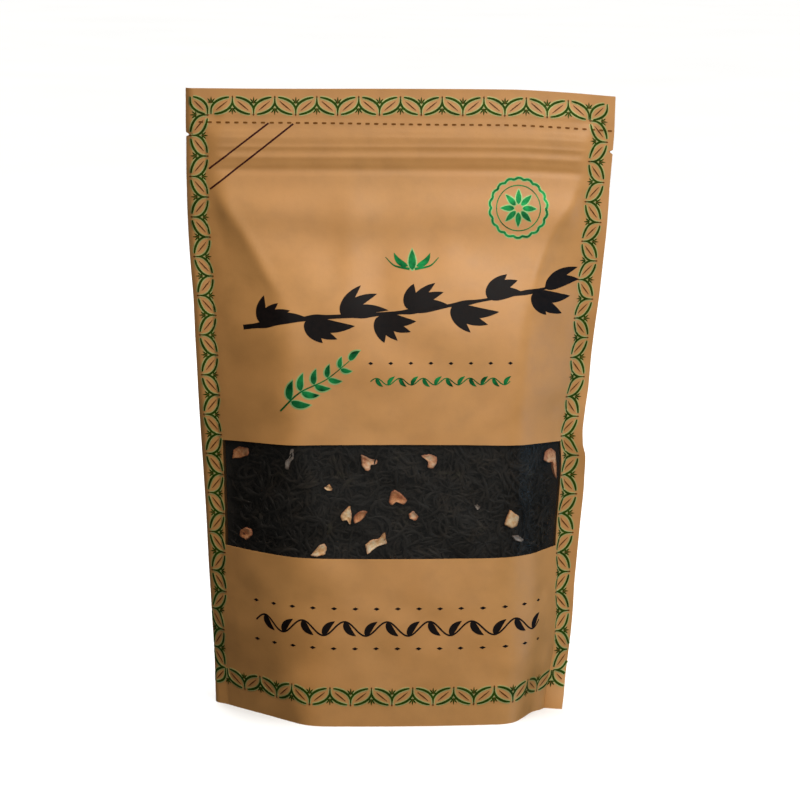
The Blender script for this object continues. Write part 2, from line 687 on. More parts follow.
def peel_material(name, deep, middle, pale, rind):
    """Dried citron: pith that is uneven in tone, darkening to the rind colour towards the torn rim."""
    n = Nodes(bpy.data.materials.new(name))
    place = n.place()
    patch = n.noise(place, 330.0)
    pores = n.noise(place, 1500.0, 4)
    rim = n.add("ShaderNodeAttribute", attribute_name="rim").outputs["Fac"]
    body = n.shade(patch, deep, middle, pale, middle=0.45)
    rimmed = n.blend(n.span(rim, 0, 0.85, 0.2, 1.0), body, rind)
    return n.finish(
        Base_Color=n.blend(n.span(pores, 0, 0.25), rimmed, rind),
        Roughness=n.span(pores, 0.5, 0.75),
        Subsurface_Weight=0.08,
        Subsurface_Radius=(0.002, 0.001, 0.0005),
        Normal=n.bump(pores, 0.5, 0.0003),
    )


def zip_material():
    """Milky moulded polyethylene with a faint haze and draw lines."""
    n = Nodes(bpy.data.materials.new("zip_plastic"))
    place = n.place()
    haze = n.noise(place, 90.0, 3, 0.5)
    lines = n.noise(n.stretch(place, (10.0, 2000.0, 2000.0)), 1.0, 3, 0.5)
    return n.finish(
        Base_Color=n.shade(haze, (0.66, 0.61, 0.52), (0.76, 0.72, 0.64)),
        Roughness=n.span(haze, 0.4, 0.52),
        Normal=n.bump(lines, 0.2, 0.0001),
    )


KRAFT_TONE = (0.57, 0.277, 0.086)
KRAFT_FLECK = (0.2, 0.1, 0.045)
GUSSET_SHADE = 0.93
kraft_front = kraft_material("kraft_front", KRAFT_TONE)
kraft_back = kraft_material("kraft_back", KRAFT_TONE)
kraft_gusset = kraft_material("kraft_gusset", [c * GUSSET_SHADE for c in KRAFT_TONE])
green_foil = foil_material("green_foil", (0.001, 0.03, 0.009), (0.012, 0.24, 0.06), 0.6, 0.34)
mint_foil = foil_material("mint_foil", (0.20, 0.36, 0.13), (0.32, 0.5, 0.22), 0.35, 0.4)
leaf_green = foil_material("leaf_green", (0.014, 0.034, 0.001), (0.034, 0.08, 0.003), 0.2, 0.5)
leaf_mint = foil_material("leaf_mint", (0.38, 0.36, 0.13), (0.5, 0.5, 0.21), 0.2, 0.42)
brown_ink = ink_material("brown_ink", (0.11, 0.035, 0.006), (0.16, 0.055, 0.012))
dash_ink = ink_material("dash_ink", (0.15, 0.052, 0.006), (0.2, 0.075, 0.012))
rule_ink = ink_material("rule_ink", (0.04, 0.007, 0.004), (0.06, 0.013, 0.007))
black_ink = ink_material("black_ink", (0.003, 0.002, 0.002), (0.009, 0.005, 0.004))
tea_look = tea_material()
peel_looks = {
    name: peel_material(f"citron_{name}", *colours)
    for name, *colours in (
        ("pith", (0.85, 0.42, 0.14), (1.0, 0.68, 0.36), (1.0, 0.88, 0.62), (0.5, 0.17, 0.045)),
        ("peel", (0.5, 0.13, 0.04), (0.95, 0.5, 0.25), (1.0, 0.8, 0.55), (0.35, 0.09, 0.03)),
        ("rind", (0.42, 0.11, 0.03), (0.75, 0.29, 0.1), (0.92, 0.5, 0.24), (0.25, 0.06, 0.02)),
        ("dull", (0.16, 0.12, 0.1), (0.3, 0.24, 0.2), (0.45, 0.38, 0.32), (0.12, 0.08, 0.06)),
    )
}
zip_look = zip_material()


# ---- Panels ----

FINE_ROWS = 259.0  # from here up the grid is fine enough for the zipper's ridges
FOLD_LINES = [  # across: the sides' edges and seals get grid lines of their own
    sign * u for sign in (-1, 1)
    for u in (HALF_WIDTH, HALF_WIDTH - 1.4, SEAL_LINE - FIN_BEND, SEAL_LINE, SEAL_LINE + FIN_BEND)
]
COLUMNS = grid_lines([0, *WINDOW_S, *FOLD_LINES], 1.6)
notch_stops = [v + k * NOTCH_HALF for v in NOTCHES for k in (-1, 0, 1)]
lower = grid_lines([0, *WINDOW_V, FINE_ROWS], 1.9)
upper = grid_lines([FINE_ROWS, *notch_stops, TOP_SEAL_START, TOP_SEAL, POUCH_HEIGHT], 0.75)
ROWS = np.concatenate([lower, upper[1:]])


def window_bow(s, v):
    """The window's upper edge is bowed a little upwards in the middle."""
    bow = WINDOW_BOW * (1 - np.abs(s / WINDOW_HALF) ** 2.5) - WINDOW_DROP
    return bow * bell(v, WINDOW_V[1], WINDOW_BOW_REACH) * (np.abs(s) < WINDOW_HALF + 1)


def panel_grids(face):
    """Outer and inner grids of a panel, with the tear notches cut into its edges."""
    s, v = np.meshgrid(COLUMNS, ROWS, indexing="ij")
    if face == FRONT:
        v = v + window_bow(s, v)
    notch_v = np.where(s < 0, *NOTCHES)
    depth = np.clip(1 - np.abs(v - notch_v) / NOTCH_HALF, 0, 1) * NOTCH_DEPTH
    near_edge = smooth_step(HALF_WIDTH - 1.5, HALF_WIDTH, np.abs(s))
    notched = s - np.sign(s) * depth * near_edge
    return skin(face, notched, v), skin(face, notched, v, inner=True)


def make_panels():
    middle_s, middle_v = (COLUMNS[1:] + COLUMNS[:-1]) / 2, (ROWS[1:] + ROWS[:-1]) / 2
    across = (middle_s > WINDOW_S[0]) & (middle_s < WINDOW_S[1])
    up = (middle_v > WINDOW_V[0]) & (middle_v < WINDOW_V[1])
    window = across[:, None] & up[None, :]
    for (face, label), material, is_open in zip(PANELS, (kraft_front, kraft_back), (window, None)):
        name, slot = f"{label}_panel_laminate", f"kraft_{label}"
        panel = panel_piece(name, face, COLUMNS, ROWS, *panel_grids(face), material, slot, is_open)
        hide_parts(f"{label}_panel")


def make_window_film():
    columns = grid_lines([-FILM_HALF_WIDTH, 0, FILM_HALF_WIDTH], 1.8)
    rows = grid_lines([WINDOW_V[0] - FILM_LAP, WINDOW_V[1] + FILM_LAP], 1.8)
    s, v = np.meshgrid(columns, rows, indexing="ij")
    near = pouch_point(FRONT, s, v, FILM_THICKNESS + front_relief(s, v))
    far = pouch_point(FRONT, s, v, front_relief(s, v))
    film = panel_piece("window_film_sheet", FRONT, columns, rows, near, far, film_material(), "clear_film")
    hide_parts("window_film")


# ---- Bottom gusset ----


def gusset_seam(s):
    """Height of the curved seal between the gusset and the panels."""
    return lerp(GUSSET_SEAL, GUSSET_SIDE_HEIGHT, np.abs(s / SEAL_LINE) ** GUSSET_SWEEP)


def gusset_middle(s):
    """Height of the gusset's middle line: flat on the ground, and rising towards the sides."""
    return (gusset_seam(s) - GUSSET_DROP) * smooth_step(GUSSET_FLAT, SEAL_LINE, np.abs(s))


def base_rise(t):
    """Share of the way up from the middle line to the seam, for t from -1 at one seam to 1 at the other."""
    return np.clip((np.abs(t) - GUSSET_FLAT_SHARE) / (1 - GUSSET_FLAT_SHARE), 0, 1) ** 2


def make_gusset():
    """Gusset sheet: up the front skirt, across the base and down the back skirt."""
    columns = grid_lines(GUSSET_STOPS, 2.2)
    legs, crossing = 12, 48  # cells up each skirt and over the base
    creases = ripples(31, 14, 24, 9)
    lines = []
    for s in columns:
        v_up = np.linspace(0, gusset_seam(s), legs + 1)
        front = pouch_point(FRONT, s, v_up, -GUSSET_INSET + front_relief(s, v_up))
        back = pouch_point(BACK, s, v_up, -GUSSET_INSET + back_relief(s, v_up))
        t = np.linspace(0, 1, crossing + 1)[1:-1]
        across = lerp(front[-1], back[-1], t[:, None])
        rise = base_rise(2 * t - 1)
        wrinkle = 0.5 * creases(s, 30 * t) * rise * (1 - rise) * 4
        low = gusset_middle(s) + GUSSET_LIFT
        across[:, 2] = lerp(low, across[:, 2], rise) + np.abs(wrinkle)
        lines.append(np.concatenate([front, across, back[::-1]]))
    middle = np.array(lines)
    along = np.gradient(middle, axis=1)
    normal = np.cross(np.gradient(middle, axis=0), along)
    normal /= np.maximum(np.linalg.norm(normal, axis=-1, keepdims=True), 1e-9)
    near, far = middle + GUSSET_HALF_THICKNESS * normal, middle - GUSSET_HALF_THICKNESS * normal
    for grid in (near, far):
        grid[..., 2] = np.maximum(grid[..., 2], 0.0)
    s, v = np.meshgrid(columns, np.linspace(0, 120, middle.shape[1]), indexing="ij")
    gusset, *_ = sheet_piece("bottom_gusset_sheet", near, far, s, v, kraft_gusset, 50)
    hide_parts("bottom_gusset")


# ---- Print: strokes laid on the panels as thin closed strips ----

PRINT_STEP = 0.004  # between the tops of strokes that cross each other
PRINT_LAYERS = 5
ZIP_ROWS = (255, 278)  # strokes over the zipper's ridges follow them closely
ZIP_PITCH, PRINT_PITCH = 0.45, 1.2  # between a stroke's points, there and elsewhere


class Print:
    """Strokes drawn on the flat panel, gathered and laid on it as one thin mesh."""

    def __init__(self, face):
        self.face = face
        self.grids = []

    def refined(self, points, widths):
        """More points along a stroke, closest over the zipper's ridges."""
        steps = np.linalg.norm(np.diff(points, axis=0), axis=1)
        travelled = np.concatenate([[0], np.cumsum(steps)])
        over_ridges = points[:, 1].max() > ZIP_ROWS[0] and points[:, 1].min() < ZIP_ROWS[1]
        pitch = ZIP_PITCH if over_ridges else PRINT_PITCH
        count = max(len(points), int(travelled[-1] / pitch) + 2)
        even = np.linspace(0, travelled[-1], count)
        where = np.union1d(even, travelled) if len(points) < 12 else even
        s, v, width = (np.interp(where, travelled, a) for a in (points[:, 0], points[:, 1], widths))
        return np.stack([s, v], -1), width

    def stroke(self, points, widths, across=1):
        """Ribbon along points (s, v) with a width at each; across is the number of cells over it."""
        points = np.asarray(points, float)
        widths = np.broadcast_to(np.asarray(widths, float), len(points))
        points, widths = self.refined(points, widths)
        along = np.gradient(points, axis=0)
        along /= np.maximum(np.linalg.norm(along, axis=1, keepdims=True), 1e-9)
        left = np.stack([-along[:, 1], along[:, 0]], -1)
        places = np.linspace(-0.5, 0.5, across + 1)
        offsets = widths[:, None, None] * places[None, :, None] * left[:, None, :]
        self.grids.append(points[:, None, :] + offsets)

    def piece(self, name, material, slot, rise):
        """One closed mesh of all strokes, with their tops at slightly different heights."""
        points, faces = [], []
        flat = np.concatenate([g.reshape(-1, 2) for g in self.grids])
        counts = [grid.size // 2 for grid in self.grids]
        layers = rise + PRINT_STEP * (np.arange(len(counts)) % PRINT_LAYERS)
        top = skin(self.face, flat[:, 0], flat[:, 1], np.repeat(layers, counts))
        low = skin(self.face, flat[:, 0], flat[:, 1], PRINT_ROOT)
        at = 0
        for grid, count in zip(self.grids, counts):
            here = sheet_faces(*grid.shape[:2])
            faces.append((here if self.face == FRONT else here[:, ::-1]) + 2 * at)
            points += [top[at : at + count], low[at : at + count]]
            at += count
        make_piece(name, np.concatenate(points), np.concatenate(faces), material, 60)


def arc(centre, radii, start, end, steps=13):
    angles = np.linspace(start, end, steps)
    return np.stack([centre[0] + radii[0] * np.cos(angles), centre[1] + radii[1] * np.sin(angles)], -1)


# Leaf border: a frame of leaf cells, 20 across and 30 up
BORDER_S = (-98.1, 96.0)
BORDER_V = (10.4, 296.1)
STRIP = 8.0  # width of its four strips
ROW_S = (-88.5, 87.3)  # ends of the cells between the corners, across
COLUMN_V = (18.4, 287.6)  # and up
CELLS_ACROSS = 20
CELLS_UP = 30
CELL_WIDTH = (ROW_S[1] - ROW_S[0]) / (CELLS_ACROSS - 2)
CELL_HEIGHT = (COLUMN_V[1] - COLUMN_V[0]) / (CELLS_UP - 2)
ARC_REACH = 0.76  # share of the strip's width that an arc takes before it runs on as a stem
FREE_END = 0.1  # share of an arc left off at its free end
ARC_WIDTHS = ([0, 0.07, 0.3, 0.65, 0.84, 1], [0.55, 0.9, 1.15, 1.05, 0.75, 0.55])
MINT_MARGIN = 0.9
VEIN_REACH = 0.26  # share of the cell from its middle to either end of the vein
# Lean, length and width of the fronds on both sides of a tuft's middle one
TUFT_FRONDS = ((0.66, 2.6, 0.75), (1.3, 1.6, 0.6))
PRINT_LIMIT = 99.6
# The side strips are printed a little out of line with the edges: shift to the right by height
PRINT_SHIFTS = [
    [
        (0, 0.1), (35, 0), (43, 0.2), (52, 1.8), (62, 1.8), (80, 1), (100, 1), (150, 0.6), (190, 0.5),
        (250, 0.1), (300, 0.2),
    ],
    [
        (0, 5.8), (10, 5.5), (28, 3.9), (46, 1.6), (60, 0.8), (95, 0.6), (112, 0.3), (130, 0.5), (166, 1.1),
        (216, 0.6), (274, 0.8), (300, 0),
    ],
]
SHIFT_REACH = (62, 90)
# and the bottom strip is printed closer together: shift to the right along it
LOW_SHIFTS = [
    (-100, -0.7), (-93, -0.9), (-88.5, -2), (-79, -1), (-50, -1.2), (-30, -1.6), (28, -1.6), (38, -1.9),
    (48, -2.7), (58, -3.7), (70, -4.1), (78, -3.6), (87.3, 0.3), (100, 0.2),
]
LOW_SHIFT_END = (19.5, 30)


def leaf_arcs(left, low, width, height, falling):
    """Both arcs of a leaf in a level strip: from a free end they curve round into an upright stem."""
    right, high = left + width, low + height
    reach = height * ARC_REACH
    quarter = math.pi / 2
    if falling:  # from the top left to the bottom right
        centres, tips = ((left, high - reach), (right, low + reach)), ((right, low), (left, high))
        turns = ((quarter, 0), (-quarter, -2 * quarter))
    else:  # from the bottom left to the top right
        centres, tips = ((right, high - reach), (left, low + reach)), ((left, low), (right, high))
        turns = ((quarter, 2 * quarter), (-quarter, 0))
    arcs = []
    for centre, tip, (start, end) in zip(centres, tips, turns):
        curve = arc(centre, (width, reach), lerp(start, end, FREE_END), end)
        arcs.append(np.vstack([curve, lerp(curve[-1], np.array(tip), 0.5), tip]))
    return arcs


class Border:
    """Leaf border: green arcs, mint edges, brown veins and ticks, and small tufts."""

    def __init__(self, face):
        self.green, self.mint, self.brown = Print(face), Print(face), Print(face)
        for i in range(CELLS_ACROSS):
            self.row_cell(i, 0)
            self.row_cell(i, CELLS_UP - 1)
        for j in range(1, CELLS_UP - 1):
            self.side_cell(0, j)
            self.side_cell(CELLS_ACROSS - 1, j)

    def draw(self, target, points, widths, across=1):
        """Stroke shifted sideways as the print lies on the pouch, and cut off at its edge."""
        s, v = np.asarray(points, float).T
        widths = np.broadcast_to(np.asarray(widths, float), len(s))
        shift = by_half(PRINT_SHIFTS, s, v) * smooth_step(*SHIFT_REACH, np.abs(s))
        s = s + shift + station_curve(LOW_SHIFTS, s) * (1 - smooth_step(*LOW_SHIFT_END, v))
        kept = np.abs(s) < PRINT_LIMIT
        if kept.sum() > 1:
            target.stroke(np.stack([s[kept], v[kept]], -1), widths[kept], across)

    def leaf(self, left, low, width, height, falling, upright):
        """Two arcs between opposite corners and a vein; upright junctions belong to the level strips."""
        if upright:
            arcs = leaf_arcs(left, low, width, height, falling)
        else:
            arcs = [points[:, ::-1] for points in leaf_arcs(low, left, height, width, falling)]
        for points in arcs:
            widths = np.interp(np.linspace(0, 1, len(points)), *ARC_WIDTHS)
            self.draw(self.green, points, widths, 2)
            self.draw(self.mint, points, widths + MINT_MARGIN, 2)
        middle = np.array([left + width / 2, low + height / 2])
        reach = np.array([width, -height if falling else height]) * VEIN_REACH
        vein = [middle + reach * k for k in (-1, -0.4, 0.3, 1)]
        self.draw(self.brown, vein, [0.2, 0.55, 0.55, 0.15])

    def junction(self, at, outward, ticked):
        """Brown tick on a junction's stem, a mint drop in its fork, and a small tuft across the strip."""
        at, outward = np.array(at, float), np.array(outward, float)
        side = np.array([-outward[1], outward[0]])

        def inward(target, start, places, widths):
            self.draw(target, [start - outward * k for k in places], widths)

        if ticked:
            inward(self.brown, at, (0.9, 0, -0.6), [0.4, 0.8, 0.35])
        inward(self.mint, at - outward * STRIP * 0.4, (0, 1.1, 2.2), [0.5, 1.3, 0.4])
        root = at - outward * (STRIP - 2.8)
        inward(self.green, root, (0, 1.5, 2.9), [0.2, 0.75, 0.15])
        inward(self.brown, root, (-0.3, 0.4, 1.0), [0.2, 0.4, 0.15])
        for lean in (-1, 1):
            for spread, length, width in TUFT_FRONDS:
                way = -outward * math.cos(spread) + side * lean * math.sin(spread)
                frond = [root, root + way * length * 0.6, root + way * length]
                self.draw(self.green, frond, [0.3, width, 0.15])

    def row_cell(self, i, j):
        low = BORDER_V[1] - STRIP if j == 0 else BORDER_V[0]
        left, width = ROW_S[0] + CELL_WIDTH * (i - 1), CELL_WIDTH
        if i in (0, CELLS_ACROSS - 1):
            left, width = (BORDER_S[0] if i == 0 else BORDER_S[1] - STRIP), STRIP
        falling = (i + j) % 2 == 0
        self.leaf(left, low, width, STRIP, falling, True)
        if i < CELLS_ACROSS - 1:
            # The junction on the right of this cell
            up = -1 if falling else 1
            edge = low + STRIP if up > 0 else low
            self.junction((ROW_S[0] + CELL_WIDTH * i, edge), (0, up), 0 < i < CELLS_ACROSS - 2)

    def side_cell(self, i, j):
        left = BORDER_S[0] if i == 0 else BORDER_S[1] - STRIP
        low = COLUMN_V[1] - CELL_HEIGHT * j
        falling = (i + j) % 2 == 0
        self.leaf(left, low, STRIP, CELL_HEIGHT, falling, False)
        # The junction on top of this cell
        across = -1 if falling else 1
        edge = left + STRIP if across > 0 else left
        self.junction((edge, low + CELL_HEIGHT), (across, 0), True)

    def make(self, label, slot):
        self.mint.piece(f"{label}_border_edges", leaf_mint, slot, 0.07)
        self.green.piece(f"{label}_border_leaves", leaf_green, slot, 0.12)
        self.brown.piece(f"{label}_border_veins", brown_ink, slot, 0.14)


TEAR_LINE = (284.3, 0.8)  # its height at the left, and its drop to the right
TEAR_PITCH = 4.06


def make_tear_line(face, label, slot):
    """Dashed tear line under the top border, running on over its right strip."""
    dashes = Print(face)
    for s in np.arange(-94, 98, TEAR_PITCH):
        v = TEAR_LINE[0] - TEAR_LINE[1] * float(smooth_step(-60, 20, s))
        dashes.stroke([(s, v), (s + 1, v), (s + 2, v)], [0.75, 0.95, 0.75], across=2)
    dashes.piece(f"{label}_tear_dashes", dash_ink, slot, 0.1)


def leaf_stroke(target, base, tip, width, bow=0.12, across=3):
    """Leaf or brush mark from base to tip, bowed to one side, widest near its lower third."""
    base, tip = np.array(base, float), np.array(tip, float)
    along = tip - base
    side = np.array([-along[1], along[0]])
    t = np.linspace(0, 1, 12)
    centre = base + along * t[:, None] + side * (bow * np.sin(math.pi * t))[:, None]
    shape = np.sin(math.pi * t**0.72) ** 0.8
    target.stroke(centre, np.maximum(width * shape, 0.12), across)


def curve_through(points, steps):
    """Smooth curve through a few points."""
    points = np.array(points, float)
    knots = np.linspace(0, 1, len(points))
    t = np.linspace(0, 1, steps)
    return np.stack([station_curve(np.stack([knots, points[:, k]], -1), t) for k in (0, 1)], -1)


def heading_to(angle, flatness=1.0):
    """Direction at an angle from the right, its rise scaled by flatness."""
    return np.array([math.cos(angle), math.sin(angle) * flatness])


def draw_branch(ink):
    """Ink bamboo over the middle: a jointed cane and brushed leaves in fans."""
    stem = curve_through([(-75, 187), (-40, 193), (-6, 195), (30, 200), (76, 208)], 60)
    share = np.arange(60) / 59
    ink.stroke(stem, 2.3 + 1.3 * np.abs(np.sin(share * math.pi * 6)) ** 8 - 1.2 * share, 2)
    random = np.random.default_rng(5)
    # Place along the stem, side and number of leaves
    fans = [
        (4, 1, 4), (13, -1, 3), (20, 1, 3), (28, -1, 4), (34, 1, 4), (42, -1, 3), (48, 1, 3), (55, -1, 3),
        (57, 1, 2),
    ]
    for place, up, leaves in fans:
        at = stem[place] + (0, 0.6 * up)
        for k in range(leaves):
            heading = up * (0.15 + 0.42 * k + random.uniform(-0.08, 0.08))
            length = random.uniform(17, 23) * (1 - 0.08 * k)
            tip = at + length * heading_to(heading, 0.85)
            leaf_stroke(ink, at, tip, random.uniform(4.8, 6.4), 0.07 * up, across=4)
    leaf_stroke(ink, stem[-3], stem[-1] + (9, 1.5), 4.6, 0.05)


def draw_sprig(foil, edge):
    """Foil sprig beside the branch: paired leaves with a mint edge."""
    twig = curve_through([(-56, 149), (-47, 158), (-35, 164), (-24, 173)], 24)
    foil.stroke(twig, np.linspace(0.9, 0.4, 24))
    for k, place in enumerate((4, 8, 12, 16, 20)):
        at = twig[place]
        for up in (1, -1):
            tip = at + (10.5 - 1.1 * k) * heading_to(0.65 + up * 0.8)
            leaf_stroke(edge, at, tip, 4.4 - 0.3 * k, 0.1 * up)
            leaf_stroke(foil, at + 0.06 * (tip - at), at + 0.93 * (tip - at), 3.3 - 0.3 * k, 0.1 * up)
    leaf_stroke(edge, twig[-1], twig[-1] + (5.4, 5.2), 3.8)
    leaf_stroke(foil, twig[-1] + (0.3, 0.3), twig[-1] + (4.9, 4.7), 2.8)


def draw_fleuron(foil, edge):
    """Small foil ornament above the branch."""
    s = 5.5
    leaf_stroke(edge, (s, 215), (s, 226), 4.6, 0)
    leaf_stroke(foil, (s, 215.6), (s, 225.2), 3.5, 0)
    for up in (1, -1):
        curl = curve_through([(s + up * 1.2, 216), (s + up * 8, 217.4), (s + up * 12.5, 221.5)], 16)
        foil.stroke(curl, np.linspace(1.2, 0.35, 16))
        leaf_stroke(foil, (s + up * 2, 217.4), (s + up * 8.5, 223.6), 2.8, -0.15 * up)


def draw_rosette(foil, edge):
    """Foil rosette in the upper right: scalloped ring, plain ring and eight petals."""
    centre = np.array([56.0, 245.0])
    turns = np.linspace(0, 2 * math.pi, 121)
    ring = np.stack([np.cos(turns), np.sin(turns)], -1)
    scallop = centre + ring * (13.2 + 0.9 * np.abs(np.sin(turns * 9)))[:, None]
    edge.stroke(scallop, 1.7)
    foil.stroke(scallop, 1.05)
    foil.stroke(centre + ring * 10.6, 0.5)
    for k in range(8):
        way = heading_to(k * math.pi / 4)
        leaf_stroke(edge, centre + way * 1.6, centre + way * 9.2, 3.6, 0)
        leaf_stroke(foil, centre + way * 2.0, centre + way * 8.7, 2.6, 0)


def draw_vine(target, left, right, level, wave, pitch, width, leaf):
    """Running vine with a leaf at every crest and trough."""
    s = lerp(left, right, np.linspace(0, 1, int((right - left) * 1.2)))
    v = level + wave * np.sin((s - left) * 2 * math.pi / pitch)
    target.stroke(np.stack([s, v], -1), width)
    for k in range(int((right - left) / pitch * 2)):
        up = 1 if k % 2 else -1
        at = (left + pitch * (k + 0.5) / 2, level - up * wave)
        tip = (at[0] + leaf * 0.75, at[1] + up * leaf * 0.95)
        leaf_stroke(target, at, tip, leaf * 0.46, 0.12 * up, across=2)


def draw_dots(target, left, pitch, count, level, half):
    """Row of small lozenges."""
    for k in range(count):
        s = left + pitch * k
        target.stroke([(s - half, level), (s, level), (s + half, level)], [0.1, 1.5, 0.1])


def make_front_print():
    """Generic ornaments: an ink branch, foil sprigs and running vines, with bare space round them."""
    ink, foil, edge, rules = Print(FRONT), Print(FRONT), Print(FRONT), Print(FRONT)
    # Two slanting rules beside the zipper
    for start, end in (((-89.3, 262.5), (-62, 284.1)), ((-88.8, 253), (-50.5, 283.8))):
        rules.stroke(np.linspace(start, end, 24), 0.85)
    draw_branch(ink)
    draw_sprig(foil, edge)
    draw_fleuron(foil, edge)
    draw_rosette(foil, edge)
    draw_vine(foil, -14, 52, 163.5, 1.6, 11, 0.5, 4.2)
    draw_vine(ink, -70, 70, 47, 3.4, 20, 0.8, 7.2)
    draw_dots(ink, -70, 10, 15, 56.5, 1.4)
    draw_dots(ink, -70, 10, 15, 37.5, 1.4)
    draw_dots(ink, -14, 66 / 7, 8, 172, 1.1)
    # Dark mark beside the left tear notch
    rules.stroke([(s, NOTCHES[0]) for s in (-98.0, -97.2, -96.4)], [0.9, 1.3, 0.7])

    ink.piece("front_ink_ornament", black_ink, "kraft_front", 0.05)
    edge.piece("front_foil_edges", mint_foil, "kraft_front", 0.035)
    foil.piece("front_foil_ornament", green_foil, "kraft_front", 0.06)
    rules.piece("front_slanting_rules", rule_ink, "kraft_front", 0.05)


# ---- Tea ----

tea_surface = ripples(41, 22, 16, 5)
CORE_SLICES = 61
CORE_BOTTOM = 1.5  # from the gusset's seam up to the core's sides
CORE_LIFT = 1.4  # of its underside over the gusset
CORE_LOW_DEPTH, CORE_BACK_DEPTH = 1.6, 1.9  # from the panels in to the core, below the window and at the back
CORE_STEP = (62, 72)  # between these heights it goes back to CORE_DEPTH
TEA_LEAVES = 2300
LEAF_STATIONS, LEAF_CORNERS = 8, 4
LEAF_LENGTH, LEAF_WIDTH = (7, 19), (0.45, 1.05)
LEAF_THICKNESS = 0.55  # share of its width
LEAF_SPREAD, LEAF_BEND, LEAF_TWIST = 0.85, 0.9, 3  # radians
LEAF_DEPTH = (1.5, 4.6)  # from the film in to its middle
LEAF_BEHIND = (3.6, 4.8)  # and where it lies behind a citron piece
LEAF_LIMIT = 88.5  # no leaf reaches further to a side
FILM_GAP = 0.35  # from the film in to the nearest leaf
ACROSS_SHARE = 0.25  # of the leaves, which lie across the others


def make_tea():
    """Core of the tea with its domed top, and the twisted leaves that lie against the window."""
    rings = []
    for s in np.linspace(-CORE_HALF_WIDTH, CORE_HALF_WIDTH, CORE_SLICES):
        bottom = gusset_seam(s) + CORE_BOTTOM
        top = FILL_HEIGHT - FILL_SAG * (s / FILL_HALF_WIDTH) ** 2
        v = np.linspace(bottom, top, 40)
        room = np.linalg.norm(pouch_point(FRONT, s, v, 0) - pouch_point(BACK, s, v, 0), axis=-1)
        rough = np.clip(room / 12, 0, 1) * tea_surface(s, v)
        depth = lerp(CORE_LOW_DEPTH, CORE_DEPTH, smooth_step(*CORE_STEP, v))
        most = CORE_GAP_SHARE * room
        front = pouch_point(FRONT, s, v, -np.minimum(depth, most) + 0.5 * rough)
        back = pouch_point(BACK, s, v, -np.minimum(CORE_BACK_DEPTH, most) + 0.3 * rough)
        t = np.linspace(0, 1, 12)[1:-1]
        crown = lerp(front[-1], back[-1], t[:, None])
        crown[:, 2] += FILL_DOME * 4 * t * (1 - t) + 0.8 * tea_surface(s, 40 * t)
        base = lerp(back[0], front[0], t[:, None])
        base[:, 2] = lerp(gusset_middle(s) + CORE_LIFT, base[:, 2], base_rise(2 * t - 1))
        rings.append(np.concatenate([front, crown, back[::-1], base]))
    faces = [f[::-1] for f in tube_faces(CORE_SLICES, len(rings[0]))]
    make_piece("tea_core", np.concatenate(rings), faces, tea_look, 60)
    points = tea_leaf_points()
    faces = []
    for index in range(TEA_LEAVES):
        faces += tube_faces(LEAF_STATIONS, LEAF_CORNERS, index * LEAF_STATIONS * LEAF_CORNERS)
    leaves = make_piece("tea_leaves", points, faces, tea_look, 70)
    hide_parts("tea_fill")


def tea_leaf_points():
    """Thin twisted leaves: each a bent, tapering strip with a lens-shaped section."""
    random = np.random.default_rng(17)
    places = np.stack([
        random.uniform(WINDOW_S[0] + 1, WINDOW_S[1] - 1, TEA_LEAVES),
        random.uniform(WINDOW_V[0] - 2, WINDOW_V[1] + 2, TEA_LEAVES),
    ], -1)
    chips = np.array([[*middle, *(np.ptp(corners, axis=0) / 2)] for *_, middle, corners in CITRON_PIECES])
    t = np.linspace(-1, 1, LEAF_STATIONS)
    turns = np.arange(LEAF_CORNERS) * 2 * math.pi / LEAF_CORNERS
    leaves = []
    for s, v in places:
        length = random.uniform(*LEAF_LENGTH)
        width = random.uniform(*LEAF_WIDTH)
        heading = random.normal(0, LEAF_SPREAD)
        if random.uniform() < ACROSS_SHARE:
            heading += math.pi / 2
        bend, twist = (random.uniform(-most, most) for most in (LEAF_BEND, LEAF_TWIST))
        depth = random.uniform(*LEAF_DEPTH)
        # Leaves near a citron piece lie behind it
        reach = np.hypot((chips[:, 0] - s) / (chips[:, 2] + 4), (chips[:, 1] - v) / (chips[:, 3] + 3))
        if reach.min() < 1:
            depth = random.uniform(*LEAF_BEHIND)
        angle = heading + bend * t
        cs = np.clip(s + t * length / 2 * np.cos(angle), -LEAF_LIMIT, LEAF_LIMIT)
        cv = v + t * length / 2 * np.sin(angle)
        size = width * np.maximum(1 - np.abs(t) ** 2.4, 0.04) * random.uniform(0.8, 1.2, LEAF_STATIONS)
        sag = depth + 0.5 * t * random.uniform(-1, 1)
        phases = twist * t[:, None] + turns + random.uniform(0, 3)
        across = size[:, None] * np.cos(phases)
        out = LEAF_THICKNESS * size[:, None] * np.sin(phases)
        ps = cs[:, None] - across * np.sin(angle)[:, None]
        pv = cv[:, None] + across * np.cos(angle)[:, None]
        inset = np.minimum(-FILM_GAP, -sag[:, None] + out)
        leaves.append(pouch_point(FRONT, ps, pv, inset + front_relief(ps, pv)).reshape(-1, 3))
    return np.concatenate(leaves)


# ---- Citron pieces ----

# Loops of a piece from its middle over the rim to the underside: share of the outline and rise
CHIP_PROFILE = [(0.3, 0.35), (0.6, 0.5), (0.84, 0.7), (0.96, 0.5), (1.0, 0.0), (0.95, -0.5), (0.7, -0.7)]
CHIP_ENDS = (0.3, -0.7)  # rise of the middle of the upper face and of the underside
CHIP_GAP = 0.45  # from the film in to the nearest part of a piece
CHIP_JITTER, CHIP_BUMPS = 0.12, 0.16


